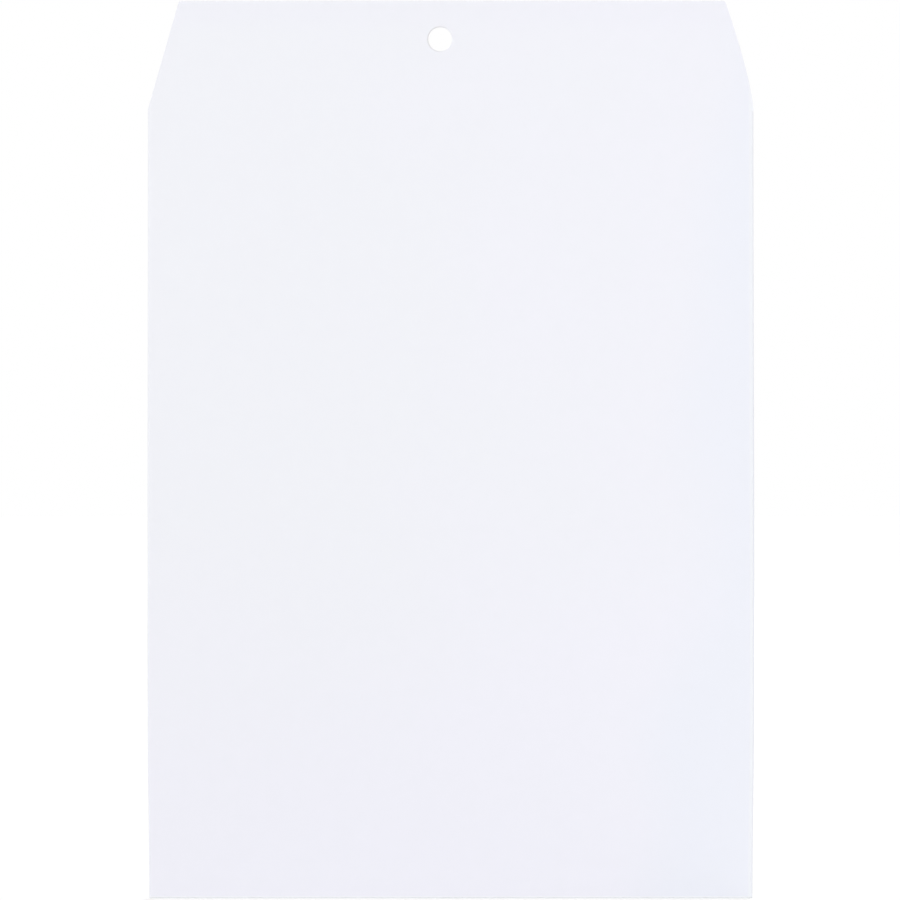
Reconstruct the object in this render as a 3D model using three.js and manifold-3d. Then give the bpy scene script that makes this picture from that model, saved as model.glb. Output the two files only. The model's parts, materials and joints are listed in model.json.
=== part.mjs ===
// A clasp envelope for 10 by 13 inch papers, upright, with its flap open.
// Millimetres, +Z up. The address side faces -Y, and the origin is the middle of the bottom fold.
// The paper is one die-cut sheet: a front, two side flaps, a bottom flap and a seal flap.

import * as THREE from 'three';
import { mergeVertices } from 'three/addons/utils/BufferGeometryUtils.js';
import Module from 'manifold-3d';

const wasm = await Module();
wasm.setup();

// Sheet
const PLY = 0.15;
const GLUE = 0.03;
const BODY_WIDTH = 254;
const BODY_HEIGHT = 330.2;
const POCKET_GAP = 0.8;
const SCORE_GAP = 0.1;

// Back: the side flaps overlap at the seam, and the mouth dips from the side folds to the seam
const SEAM_OVERLAP = 19;
const SEAM_GLUE_WIDTH = 11;
const SEAM_GLUE_INSET = 7;
const MOUTH_DROP_SIDE = 0.6;
const MOUTH_DROP_SEAM = 5;

// Bottom flap
const BOTTOM_FLAP_HEIGHT = 36;
const BOTTOM_FLAP_TAPER = 17;
const BOTTOM_FLAP_CORNER = 6;
const BOTTOM_CORNER_NOTCH = 0.4;
const BOTTOM_GLUE_WIDTH = 9;
const BOTTOM_GLUE_INSET = 5;

// Seal flap: its two tapers differ a little, as cut
const FLAP_HEIGHT = 46;
const FLAP_TIP_LEFT = 114.1;
const FLAP_TIP_RIGHT = 115.6;
const FLAP_SHOULDER_LEFT = 0.9;
const FLAP_SHOULDER_RIGHT = 4;
const FLAP_CORNER = 0.8;
const FOLD_CLEARANCE = 0.1;
const FLAP_CLEARANCE = 0.12;

// Hole, and the clasp that goes through it when the flap is folded down
const HOLE_DIAMETER = 10;
const HOLE_FROM_FOLD = 29.9;
const CLASP_X = -4.4;
const PATCH_DIAMETER = 24;

// Gum on the flap's inner face
const GUM = 0.04;
const GUM_WIDTH = 20;
const GUM_FROM_TIP = 4;
const GUM_END_INSET = 8;
const GUM_CORNER = 5;
const GUM_PATCH_GAP = 1;

// Clasp: one strip of tinned steel
const METAL = 0.2;
const STRIP_WIDTH = 6;
const BASE_LENGTH = 17;
const LAYER_GAP = 0.04;
const BEND = 0.2;
const NECK_SPACING = 1.4;
const NECK_WIDTH = 3.6;
const TOOTH_WIDTH = 1.6;
const TOOTH_LENGTH = 2.2;
const TOOTH_FROM_END = 2.4;
const TOOTH_CLEARANCE = 0.3;

// Prongs
const PRONG_LENGTH = 11.5;
const PRONG_WIDTH = 4.6;
const PRONG_FLARE = 1.5;
const PRONG_CLEARANCE = 0.13;
const PRONG_ROOT = 0.15;
const HINGE_CLEARANCE = 0.25;
const RIB_HEIGHT = 0.25;
const RIB_WIDTH = 1.1;
const RIB_FROM_ROOT = 2.2;
const RIB_FROM_TIP = 2.2;

const FOLD_STEPS = 10;
const HOLE_STEPS = 24;
const CORNER_STEPS = 5;

// Where each ply lies, from the front face to the back
const frontOuter = -POCKET_GAP / 2 - PLY;
const frontInner = frontOuter + PLY;
const leftInner = frontInner + POCKET_GAP;
const leftOuter = leftInner + PLY;
const rightInner = leftOuter + GLUE;
const rightOuter = rightInner + PLY;
const bottomInner = rightOuter + GLUE;
const bottomOuter = bottomInner + PLY;
const claspTop = rightOuter + 2 * METAL + LAYER_GAP;

// The folded-down flap starts just over the back plies and leans on the clasp's base, so it lies at a slant.
// It turns about a line behind the score, halfway between its inner face open and its inner face closed.
const foldLine = BODY_HEIGHT;
const closedInner = rightOuter + FOLD_CLEARANCE;
const hingeY = (frontInner + closedInner) / 2;
const closedSlant = (claspTop + FLAP_CLEARANCE + PLY - closedInner) / (HOLE_FROM_FOLD - STRIP_WIDTH / 2);
const closedOuter = closedInner + PLY + closedSlant * (HOLE_FROM_FOLD + PRONG_WIDTH / 2);
const bottomRadius = (bottomOuter - frontOuter) / 2;
const claspZ = foldLine - HOLE_FROM_FOLD;
const prongAxisY = closedOuter + PRONG_CLEARANCE + METAL / 2;
const seamLeft = CLASP_X - SEAM_OVERLAP / 2;
const seamRight = CLASP_X + SEAM_OVERLAP / 2;

const paper = new THREE.MeshStandardMaterial({ color: 0xf3f4f9, roughness: 0.85, metalness: 0 });
const glue = new THREE.MeshStandardMaterial({ color: 0xe6e2d3, roughness: 0.5, metalness: 0 });
const gum = new THREE.MeshStandardMaterial({ color: 0xe9e4d2, roughness: 0.28, metalness: 0 });
const tin = new THREE.MeshStandardMaterial({ color: 0xc3c2bd, roughness: 0.3, metalness: 1 });

// Turns one closed three.js geometry into a solid that can be cut and joined
function solid(geometry) {
  const bare = new THREE.BufferGeometry();
  bare.setAttribute('position', geometry.getAttribute('position'));
  bare.setIndex(geometry.getIndex());
  const merged = mergeVertices(bare, 1e-5);
  return new wasm.Manifold(new wasm.Mesh({
    numProp: 3,
    vertProperties: new Float32Array(merged.getAttribute('position').array),
    triVerts: new Uint32Array(merged.getIndex().array),
  }));
}

function geometryOf(manifold) {
  const mesh = manifold.getMesh();
  const geometry = new THREE.BufferGeometry();
  geometry.setAttribute('position', new THREE.BufferAttribute(mesh.vertProperties, 3));
  geometry.setIndex(new THREE.BufferAttribute(mesh.triVerts, 1));
  geometry.computeVertexNormals();
  return geometry;
}

function joined(solids) {
  return solids.reduce((whole, next) => whole.add(next));
}

// Prisms: a shape drawn in X and Y goes up Z, one in X and Z goes along Y, one in Y and Z along X
function alongZ(shape, from, to, steps = FOLD_STEPS) {
  const prism = new THREE.ExtrudeGeometry(shape, {
    depth: to - from,
    bevelEnabled: false,
    curveSegments: steps,
  });
  return prism.translate(0, 0, from);
}

function alongY(shape, from, to, steps = CORNER_STEPS) {
  return alongZ(shape, -to, -from, steps).rotateX(Math.PI / 2);
}

function alongX(shape, from, to, steps = FOLD_STEPS) {
  const turned = new THREE.Matrix4().makeBasis(
    new THREE.Vector3(0, 1, 0),
    new THREE.Vector3(0, 0, 1),
    new THREE.Vector3(1, 0, 0),
  );
  return alongZ(shape, from, to, steps).applyMatrix4(turned);
}

// A closed outline whose corners are rounded by the third number of each point, where it has one
function outline(corners) {
  const shape = new THREE.Shape();
  const count = corners.length;
  corners.forEach(([x, y, radius = 0], i) => {
    const at = new THREE.Vector2(x, y);
    const before = new THREE.Vector2(...corners[(i + count - 1) % count]);
    const after = new THREE.Vector2(...corners[(i + 1) % count]);
    const back = before.sub(at).normalize();
    const on = after.sub(at).normalize();
    const reach = radius > 0 ? radius / Math.tan(Math.acos(back.dot(on)) / 2) : 0;
    const start = at.clone().addScaledVector(back, reach);
    const end = at.clone().addScaledVector(on, reach);
    if (i === 0) shape.moveTo(start.x, start.y);
    else shape.lineTo(start.x, start.y);
    if (radius > 0) shape.quadraticCurveTo(at.x, at.y, end.x, end.y);
  });
  shape.closePath();
  return shape;
}

function roundHole(x, z) {
  const hole = new THREE.Path();
  hole.absarc(x, z, HOLE_DIAMETER / 2, 0, 2 * Math.PI, true);
  return hole;
}

function disc(x, z, diameter) {
  const shape = new THREE.Shape();
  shape.absarc(x, z, diameter / 2, 0, 2 * Math.PI, false);
  return shape;
}

// A side flap's section: from the front ply round the fold through a half turn, and back along the other ply.
// It is drawn as a J, with the fold's outermost point at u = 0 and the far ply's free end at u = reach.
function foldedStrip(frontFace, backFace, reach) {
  const radius = (backFace - frontFace) / 2;
  const middle = (backFace + frontFace) / 2;
  const shape = new THREE.Shape();
  shape.moveTo(radius, frontFace);
  shape.absarc(radius, middle, radius, -Math.PI / 2, Math.PI / 2, true);
  shape.lineTo(reach, backFace);
  shape.lineTo(reach, backFace - PLY);
  shape.lineTo(radius, backFace - PLY);
  shape.absarc(radius, middle, radius - PLY, Math.PI / 2, -Math.PI / 2, false);
  shape.closePath();
  return shape;
}

// The same four slits go through both plies of the seam, and each tooth goes through one
function toothPlaces() {
  const x = BASE_LENGTH / 2 - TOOTH_FROM_END;
  const z = STRIP_WIDTH / 2;
  return [[-x, -z], [x, -z], [-x, z], [x, z]];
}

function withSlits(body) {
  const width = TOOTH_WIDTH + 2 * TOOTH_CLEARANCE;
  const depth = METAL + 2 * TOOTH_CLEARANCE;
  return toothPlaces().reduce((cut, [x, z]) => {
    const inward = z - Math.sign(z) * METAL / 2;
    const slit = new THREE.BoxGeometry(width, 4 * (rightOuter - leftInner), depth);
    slit.translate(CLASP_X + x, (leftInner + rightOuter) / 2, claspZ + inward);
    return cut.subtract(solid(slit));
  }, body);
}

function frontPanel() {
  const left = -BODY_WIDTH / 2 + (leftOuter - frontOuter) / 2;
  const right = BODY_WIDTH / 2 - (rightOuter - frontOuter) / 2;
  const shape = outline([[left, bottomRadius], [right, bottomRadius], [right, foldLine], [left, foldLine]]);
  return alongY(shape, frontOuter, frontInner);
}

// One side flap, drawn for the left and turned over for the right: the fold, then the back ply
function sideFlap(backFace, freeEdge, side) {
  const reach = BODY_WIDTH / 2 - side * freeEdge;
  const low = bottomRadius + SCORE_GAP;
  const high = foldLine - MOUTH_DROP_SIDE;
  const folded = alongZ(foldedStrip(frontOuter, backFace, reach), low, foldLine);
  const mouth = outline([
    [0, low],
    [reach, low],
    [reach, foldLine - MOUTH_DROP_SEAM],
    [(backFace - frontOuter) / 2, high],
    [0, high],
  ]);
  const cut = solid(folded).intersect(solid(alongY(mouth, 2 * frontOuter, 2 * backFace)));
  const placed = side < 0 ? cut : cut.mirror([1, 0, 0]);
  return placed.translate([side * BODY_WIDTH / 2, 0, 0]);
}

function leftSideFlap() {
  return geometryOf(withSlits(sideFlap(leftOuter, seamRight, -1)));
}

function rightSideFlap() {
  return geometryOf(withSlits(sideFlap(rightOuter, seamLeft, 1)));
}

function seamGlue() {
  const left = CLASP_X - SEAM_GLUE_WIDTH / 2;
  const low = BOTTOM_FLAP_HEIGHT - SEAM_GLUE_INSET - BOTTOM_GLUE_WIDTH;
  const high = foldLine - MOUTH_DROP_SEAM - SEAM_GLUE_INSET;
  const band = outline([
    [left, low],
    [left + SEAM_GLUE_WIDTH, low],
    [left + SEAM_GLUE_WIDTH, high],
    [left, high],
  ]);
  return geometryOf(withSlits(solid(alongY(band, leftOuter, rightInner))));
}

// The bottom fold is a half tube between the front and the bottom flap, round the ends of the side flaps
function bottomFold() {
  const half = BODY_WIDTH / 2 - BOTTOM_CORNER_NOTCH;
  const middle = (frontOuter + bottomOuter) / 2;
  const shape = new THREE.Shape();
  shape.absarc(middle, bottomRadius, bottomRadius, Math.PI, 2 * Math.PI, false);
  shape.absarc(middle, bottomRadius, bottomRadius - PLY, 2 * Math.PI, Math.PI, true);
  shape.closePath();
  return alongX(shape, -half, half);
}

// The flap above that fold lies over both side flaps, and its ends taper
function bottomFlap() {
  const half = BODY_WIDTH / 2 - BOTTOM_CORNER_NOTCH;
  const top = half - BOTTOM_FLAP_TAPER;
  return alongY(outline([
    [-half, bottomRadius],
    [half, bottomRadius],
    [half, 2 * bottomRadius],
    [top, BOTTOM_FLAP_HEIGHT, BOTTOM_FLAP_CORNER],
    [-top, BOTTOM_FLAP_HEIGHT, BOTTOM_FLAP_CORNER],
    [-half, 2 * bottomRadius],
  ]), bottomInner, bottomOuter);
}

// Glue under one half of the bottom flap. The right side flap lies a ply higher than the left one.
function bottomGlue(from, to, face) {
  const high = BOTTOM_FLAP_HEIGHT - BOTTOM_GLUE_INSET;
  const low = high - BOTTOM_GLUE_WIDTH;
  return alongY(outline([[from, low], [to, low], [to, high], [from, high]]), face, bottomInner);
}

// The flap's own pieces are drawn from its hinge line, with Z along the open flap
function sealFlap() {
  const shape = outline([
    [-BODY_WIDTH / 2, SCORE_GAP],
    [BODY_WIDTH / 2, SCORE_GAP],
    [BODY_WIDTH / 2, FLAP_SHOULDER_RIGHT],
    [FLAP_TIP_RIGHT, FLAP_HEIGHT, FLAP_CORNER],
    [-FLAP_TIP_LEFT, FLAP_HEIGHT, FLAP_CORNER],
    [-BODY_WIDTH / 2, FLAP_SHOULDER_LEFT],
  ]);
  shape.holes.push(roundHole(CLASP_X, HOLE_FROM_FOLD));
  return alongY(shape, frontOuter - hingeY, frontInner - hingeY, HOLE_STEPS);
}

function holePatch() {
  const shape = disc(CLASP_X, HOLE_FROM_FOLD, PATCH_DIAMETER);
  shape.holes.push(roundHole(CLASP_X, HOLE_FROM_FOLD));
  return alongY(shape, frontInner - hingeY, frontInner + PLY - hingeY, HOLE_STEPS);
}

// One of the two bands of gum along the flap's edge, left clear round the patch
function sealGum(from, to) {
  const high = FLAP_HEIGHT - GUM_FROM_TIP;
  const low = high - GUM_WIDTH;
  const face = frontInner - hingeY;
  const band = outline([
    [from, low, GUM_CORNER],
    [to, low, GUM_CORNER],
    [to, high, GUM_CORNER],
    [from, high, GUM_CORNER],
  ]);
  const clear = disc(CLASP_X, HOLE_FROM_FOLD, PATCH_DIAMETER + 2 * GUM_PATCH_GAP);
  const gummed = solid(alongY(band, face, face + GUM));
  return geometryOf(gummed.subtract(solid(alongY(clear, face - PLY, face + PLY, HOLE_STEPS))));
}

// A strip of metal bent along a path of straight runs, with a round bend at each corner.
// The path is its middle line, drawn in the plane that the strip's width is square to.
function bentStrip(path, width) {
  const points = path.map(([x, y]) => new THREE.Vector2(x, y));
  const radius = BEND / 2 + METAL / 2;
  const line = new THREE.Path();
  line.moveTo(points[0].x, points[0].y);
  for (let i = 1; i < points.length - 1; i += 1) {
    const back = points[i - 1].clone().sub(points[i]);
    const on = points[i + 1].clone().sub(points[i]);
    const reach = Math.min(radius, back.length() / 2, on.length() / 2);
    const start = points[i].clone().addScaledVector(back.normalize(), reach);
    const end = points[i].clone().addScaledVector(on.normalize(), reach);
    line.lineTo(start.x, start.y);
    line.quadraticCurveTo(points[i].x, points[i].y, end.x, end.y);
  }
  line.lineTo(points.at(-1).x, points.at(-1).y);
  const middle = line.getPoints(CORNER_STEPS);
  const sides = middle.map((point, i) => {
    const before = middle[Math.max(i - 1, 0)];
    const after = middle[Math.min(i + 1, middle.length - 1)];
    const into = point.clone().sub(before).normalize();
    const out = after.clone().sub(point).normalize();
    const way = into.add(out).normalize();
    return new THREE.Vector2(-way.y, way.x).multiplyScalar(METAL / 2);
  });
  const one = middle.map((point, i) => point.clone().add(sides[i]));
  const other = middle.map((point, i) => point.clone().sub(sides[i]));
  return alongZ(new THREE.Shape([...one, ...other.reverse()]), -width / 2, width / 2);
}

// The clasp's base is the strip's middle, folded double: its upper arms end at the two necks
function claspStrip() {
  const lower = rightOuter + METAL / 2;
  const upper = lower + METAL + LAYER_GAP;
  const end = BASE_LENGTH / 2 - METAL / 2;
  const neck = NECK_SPACING / 2;
  const top = prongAxisY - HINGE_CLEARANCE;
  const strip = solid(bentStrip([
    [-neck, top],
    [-neck, upper],
    [-end, upper],
    [-end, lower],
    [end, lower],
    [end, upper],
    [neck, upper],
    [neck, top],
  ], STRIP_WIDTH));
  const shoulders = [-1, 1].map((side) => {
    const trim = new THREE.BoxGeometry(2 * NECK_SPACING, top - claspTop, STRIP_WIDTH);
    return solid(trim.translate(0, (top + claspTop) / 2 + METAL / 2, side * (STRIP_WIDTH + NECK_WIDTH) / 2));
  });
  return shoulders.reduce((cut, trim) => cut.subtract(trim), strip);
}

// A tooth leaves the strip's long edge, goes down through the seam and is clinched flat inside
function tooth(z) {
  const side = Math.sign(z);
  const plate = rightOuter + METAL / 2;
  const inside = leftInner - METAL / 2;
  const edge = z - side * METAL / 2;
  const bent = bentStrip([
    [plate, edge - side * 3 * METAL],
    [plate, edge],
    [inside, edge],
    [inside, edge - side * TOOTH_LENGTH],
  ], TOOTH_WIDTH);
  const upright = solid(bent.applyMatrix4(new THREE.Matrix4().makeBasis(
    new THREE.Vector3(0, 1, 0),
    new THREE.Vector3(0, 0, 1),
    new THREE.Vector3(1, 0, 0),
  )));
  const far = edge - side * TOOTH_LENGTH;
  const point = new THREE.Shape([
    new THREE.Vector2(-TOOTH_WIDTH, z + side),
    new THREE.Vector2(-TOOTH_WIDTH / 2, edge - side * TOOTH_LENGTH / 3),
    new THREE.Vector2(0, far),
    new THREE.Vector2(TOOTH_WIDTH / 2, edge - side * TOOTH_LENGTH / 3),
    new THREE.Vector2(TOOTH_WIDTH, z + side),
  ]);
  return upright.intersect(solid(alongY(point, inside - METAL, claspTop)));
}

function claspBase() {
  const teeth = toothPlaces().map(([x, z]) => tooth(z).translate([x, 0, 0]));
  return geometryOf(joined([claspStrip(), ...teeth]));
}

// A bar with round ends, along the first axis of its drawing
function roundedBar(from, to, width) {
  const radius = width / 2;
  const shape = new THREE.Shape();
  shape.absarc(from + radius, 0, radius, Math.PI / 2, 3 * Math.PI / 2, false);
  shape.absarc(to - radius, 0, radius, -Math.PI / 2, Math.PI / 2, false);
  shape.closePath();
  return shape;
}

// A prong stands along +Y from its bend line at the origin. Its rib is pressed out towards -X.
function prong() {
  const half = PRONG_WIDTH / 2;
  const root = NECK_WIDTH / 2;
  const tongue = new THREE.Shape();
  tongue.moveTo(PRONG_ROOT, -root);
  tongue.lineTo(PRONG_ROOT + PRONG_FLARE, -half);
  tongue.absarc(PRONG_LENGTH - half, 0, half, -Math.PI / 2, Math.PI / 2, false);
  tongue.lineTo(PRONG_ROOT + PRONG_FLARE, half);
  tongue.lineTo(PRONG_ROOT, root);
  tongue.closePath();
  const plate = solid(alongX(tongue, -METAL / 2, METAL / 2, CORNER_STEPS));
  const ribEnd = PRONG_LENGTH - RIB_FROM_TIP;
  const outside = roundedBar(RIB_FROM_ROOT, ribEnd, RIB_WIDTH);
  const inside = roundedBar(RIB_FROM_ROOT + METAL, ribEnd - METAL, RIB_WIDTH - 2 * METAL);
  const raised = solid(alongX(outside, -METAL / 2 - RIB_HEIGHT, 0, CORNER_STEPS));
  const pressed = solid(alongX(inside, METAL / 2 - RIB_HEIGHT, METAL, CORNER_STEPS));
  return geometryOf(plate.add(raised).subtract(pressed));
}

function piece(name, geometry, material) {
  const mesh = new THREE.Mesh(geometry, material);
  mesh.name = name;
  return mesh;
}

function pocket() {
  const group = new THREE.Group();
  const glueEnd = BODY_WIDTH / 2 - BOTTOM_FLAP_TAPER - BOTTOM_GLUE_INSET;
  group.add(
    piece('front_panel', frontPanel(), paper),
    piece('left_side_flap', leftSideFlap(), paper),
    piece('right_side_flap', rightSideFlap(), paper),
    piece('bottom_fold', bottomFold(), paper),
    piece('bottom_flap', bottomFlap(), paper),
    piece('centre_seam_glue', seamGlue(), glue),
    piece('left_bottom_glue', bottomGlue(-glueEnd, seamLeft - SCORE_GAP, leftOuter), glue),
    piece('right_bottom_glue', bottomGlue(seamLeft, glueEnd, rightOuter), glue),
  );
  return group;
}

function flap() {
  const group = new THREE.Group();
  group.add(
    piece('seal_flap', sealFlap(), paper),
    piece('hole_patch', holePatch(), paper),
    piece('left_seal_gum', sealGum(GUM_END_INSET - FLAP_TIP_LEFT, CLASP_X), gum),
    piece('right_seal_gum', sealGum(CLASP_X, FLAP_TIP_RIGHT - GUM_END_INSET), gum),
  );
  group.position.set(0, hingeY, foldLine);
  return group;
}

function clasp() {
  const group = new THREE.Group();
  const left = piece('left_prong', prong(), tin);
  const right = piece('right_prong', prong(), tin);
  left.rotation.y = Math.PI;
  left.position.set(-NECK_SPACING / 2, prongAxisY, 0);
  right.position.set(NECK_SPACING / 2, prongAxisY, 0);
  group.add(piece('clasp_base', claspBase(), tin), left, right);
  group.position.set(CLASP_X, 0, claspZ);
  return group;
}

const envelope = new THREE.Group();
envelope.add(pocket(), flap(), clasp());

export default envelope;
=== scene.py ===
"""A clasp envelope for 10 by 13 inch papers, upright, with its flap open, from its address side.

Metres, +Z up, and the address side faces -Y. The sections follow the envelope as it is made:
the camera, the folded sheet, its paste, the gum and the patch on the flap, the clasp and its
prongs, and then the floor and the light.
"""

import json
import math

import bpy
import numpy as np
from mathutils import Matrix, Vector


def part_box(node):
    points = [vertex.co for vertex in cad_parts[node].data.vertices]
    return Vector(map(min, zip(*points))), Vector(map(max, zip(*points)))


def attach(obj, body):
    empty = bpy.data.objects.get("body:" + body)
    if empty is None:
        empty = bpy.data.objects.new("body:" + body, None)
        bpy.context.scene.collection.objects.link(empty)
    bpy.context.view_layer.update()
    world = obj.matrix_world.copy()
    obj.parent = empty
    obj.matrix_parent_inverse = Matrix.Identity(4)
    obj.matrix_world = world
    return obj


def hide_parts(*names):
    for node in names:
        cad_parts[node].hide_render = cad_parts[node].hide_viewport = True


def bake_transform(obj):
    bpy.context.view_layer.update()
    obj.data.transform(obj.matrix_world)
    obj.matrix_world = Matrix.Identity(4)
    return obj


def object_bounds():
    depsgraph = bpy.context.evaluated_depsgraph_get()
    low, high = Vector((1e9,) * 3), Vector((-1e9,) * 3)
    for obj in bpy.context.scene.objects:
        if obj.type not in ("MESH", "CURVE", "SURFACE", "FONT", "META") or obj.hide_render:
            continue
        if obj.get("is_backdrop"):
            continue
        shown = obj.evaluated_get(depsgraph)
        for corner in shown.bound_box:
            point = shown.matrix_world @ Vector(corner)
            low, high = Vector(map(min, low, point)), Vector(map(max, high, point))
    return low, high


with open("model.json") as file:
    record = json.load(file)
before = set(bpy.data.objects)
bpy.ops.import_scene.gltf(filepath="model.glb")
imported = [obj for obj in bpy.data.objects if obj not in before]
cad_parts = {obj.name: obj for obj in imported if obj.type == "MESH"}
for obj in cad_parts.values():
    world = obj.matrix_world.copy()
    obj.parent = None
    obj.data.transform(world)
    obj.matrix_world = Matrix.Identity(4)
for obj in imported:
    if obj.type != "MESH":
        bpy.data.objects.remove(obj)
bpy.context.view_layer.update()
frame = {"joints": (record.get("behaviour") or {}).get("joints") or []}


# The camera
# It looks square on at the address side through a 100 mm lens, from where its 36 mm of sensor
# take in 377 mm. The envelope stands a little right of the middle of the picture.
LENS = 100
SENSOR = 36
VIEW_DISTANCE = 1.048
VIEW_HEIGHT = 0.1879
VIEW_SIDE = -0.0003

front_low, front_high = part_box("front_panel")

camera_data = bpy.data.cameras.new("camera")
camera_data.lens = LENS
camera_data.sensor_width = SENSOR
camera = bpy.data.objects.new("camera", camera_data)
camera.location = (VIEW_SIDE, front_low.y - VIEW_DISTANCE, VIEW_HEIGHT)
camera.rotation_euler = (math.radians(90), 0, 0)
bpy.context.scene.collection.objects.link(camera)
bpy.context.scene.camera = camera


# The folded sheet
# White wove paper, 0.15 mm thick, die-cut in one piece. The side flaps are folded back and lap
# at a seam, the bottom flap is folded up over them, and the seal flap stands open at its score.

# Its folds, from the flat panel out to the edge
FOLD_DEPTH = 0.0014
LEFT_FOLD_DEPTH = 0.001
SIDE_PINCH = 1.2
BOTTOM_FOLD_DEPTH = 0.0004
BOTTOM_PINCH = 0.5
FOLD_STEPS = 20
SIDE_CLEARANCE = 0.00002

# Its cut edges
CORNER_NOTCH = 0.0001
BOTTOM_CORNER = 0.006
BOTTOM_TAPER = 0.017
CORNER_STEPS = 11
MOUTH_DIP = 0.0044
DIP_ROUND_FOLD = (0.5, 0.9)
TIP_CORNER = 0.0008
TIP_LEFT = -0.1139
TIP_RIGHT = 0.1150
SHOULDER_LEFT = 0.0005
SHOULDER_RIGHT = 0.0004
RIGHT_CURVE = 1.32
HOLE_RADIUS = 0.005
SLIT_NEAR = 0.00515
SLIT_FAR = 0.00705
SLIT_LOW = 0.00262
SLIT_HIGH = 0.00314

# How far it strays from flat and straight
SLACK = 0.00013
LONG_WAVE = (0.31, 0.42)
LONG_START = 0.15
SHORT_WAVE = (0.17, -0.23)
SHORT_START = 0.4
SHORT_SHARE = 0.4
FRONT_BELLY = 0.00022
BACK_BELLY = 0.0004
FLAP_CURL = 0.00012
CURL_WAVE = 0.19
CURL_START = 0.3
CURL_SHARE = 0.4
SCORE_DEPTH = 0.000015
SCORE_WIDTH = 0.0004
EDGE_LIFT = 0.0003
EDGE_LOOSE = 0.005
SEAM_STEP = 0.004
RIGHT_BOW = 0.00035
LEFT_BOW = 0.0002
BOW_LOW = 0.7
RIGHT_DRAW_IN = 0.0004
LEFT_DRAW_IN = 0.0006
DRAW_IN_FROM = 0.075

# Its mesh
SCORE_CUT = 0.00005
SCORE_NEAR = 0.001
SCORE_FAR = 0.002
HOLE_BLOCK = 0.009
SLIT_BLOCK = 0.007
LEFT_COLUMNS = 44
RIGHT_COLUMNS = 46
BACK_COLUMNS = 44
BODY_ROWS = 84
BOTTOM_ROWS = 14
EAR_STEPS = 3
RING_STEPS = 8
RING_GATHER = 1.5
WELD = 1e-6
WELD_SHIFT = 0.37
PAPER_SHARP = 35

# Its colours
PAPER = (0.905, 0.913, 0.957)
# Painted light tints: violet low down and to the right, cooler at the right
PAPER_VIOLET = (0.914, 0.912, 0.979)
PAPER_COOL = (0.888, 0.904, 0.973)
# Painted highlight along the folds
PAPER_FOLD_HIGHLIGHT = (0.935, 0.952, 0.975)
PAPER_DULL = (0.872, 0.880, 0.934)
# Painted shadow line at the right fold
PAPER_CREASE_SHADOW = (0.73, 0.76, 0.87)
# Painted shade round the hole
PAPER_HOLE_SHADE = (0.66, 0.65, 0.66)
PAPER_ROUGHNESS = 0.78
PAPER_SPECULAR = 0.25
PAPER_RELIEF = 0.00006
PAPER_BUMP = 0.2

# Its patterns: sizes of the blotches, pairs of places between which a tint comes in, and shares
CLOUD_SIZE = 0.006
FIBRE_SIZE = 0.0005
FIBRE_ROUGHNESS = 0.16
DRIFT_SIZE = 0.09
GUM_BELOW_TIP = (0.016, 0.003)
GUM_DULLS = 0.5
PAST_FOLD = 0.02
# Where the painted light tints come in: violet low down and to the right, cool at the right
VIOLET_RIGHTWARDS = (0.1, 0.22)
VIOLET_DRIFT_ACROSS = 0.3
VIOLET_DOWNWARDS = (0.2, 0.07)
VIOLET_DRIFT_UP = 0.08
VIOLET_SHARE = 0.6
COOL_RIGHTWARDS = (0.09, 0.13)
COOL_DRIFT = 0.06
COOL_SLANT = 0.12
PULP = (0.62, 0.3)
PULP_SHARE = 0.18
CREASE_PLACE = 0.98
# Painted shadow line along the right fold: its width, its share and the heights where it shows
CREASE_SHADOW_WIDTH = (0.0005, 0.0002)
CREASE_SHADOW_SHARE = 0.52
CREASE_SHADOW_FROM_BOTTOM = (0.03, 0.14)
CREASE_SHADOW_FROM_TOP = (0.32, 0.17)
# Painted highlight along the right fold and the bottom fold: widths and the bottom's share
SIDE_FOLD_HIGHLIGHT = (0.0024, 0.0014)
BOTTOM_FOLD_HIGHLIGHT = (0.0014, 0.0009)
BOTTOM_HIGHLIGHT_SHARE = 2
# Painted shade round the hole: its width, its lean to the upper left, drift, spread and share
HOLE_SHADE_WIDTH = (0.0008, 0.0001)
HOLE_SHADE_TILT = 0.4
HOLE_SHADE_DRIFT = 0.8
HOLE_SHADE_ROUND = (-0.6, 1.2)
HOLE_SHADE_SHARE = 1.4

left_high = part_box("left_side_flap")[1]
right_low, right_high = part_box("right_side_flap")
bottom_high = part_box("bottom_flap")[1]
flap_low, flap_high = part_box("seal_flap")
patch_low, patch_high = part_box("hole_patch")
clasp_low, clasp_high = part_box("clasp_base")

ply = flap_high.y - flap_low.y
front_y = front_low.y + ply / 2
left_y = left_high.y - ply / 2
right_y = right_high.y - ply / 2
bottom_y = bottom_high.y - ply / 2
half_width = flap_high.x
edge = half_width - ply / 2
bend = edge - FOLD_DEPTH
left_bend = edge - LEFT_FOLD_DEPTH
score = front_high.z
mouth = left_high.z
flap_tip = flap_high.z
hole_x = (patch_low.x + patch_high.x) / 2
hole_z = (patch_low.z + patch_high.z) / 2
clasp_z = (clasp_low.z + clasp_high.z) / 2


def spread(start, *stretches):
    """Numbers from start onwards: each (count, stop) carries on to stop in count even steps."""
    parts = [np.array([start], float)]
    for count, stop in stretches:
        parts.append(np.linspace(parts[-1][-1], stop, count + 1)[1:])
    return np.concatenate(parts)


def smooth(value, low, high):
    """0 up to low, 1 from high on, and the cubic 3t^2 - 2t^3 in between."""
    t = np.clip((value - low) / (high - low), 0, 1)
    return t * t * (3 - 2 * t)


def body_rise(z):
    """A squared sine that is 0 at the bottom fold and at the score, and 1 halfway up."""
    return np.sin(np.pi * np.clip(z / score, 0, 1)) ** 2


def wave(x, z, lengths, start):
    """A sine over a slanting plane: its length along x and along z, and where it starts."""
    return np.sin(2 * np.pi * (x / lengths[0] + z / lengths[1] + start))


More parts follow.
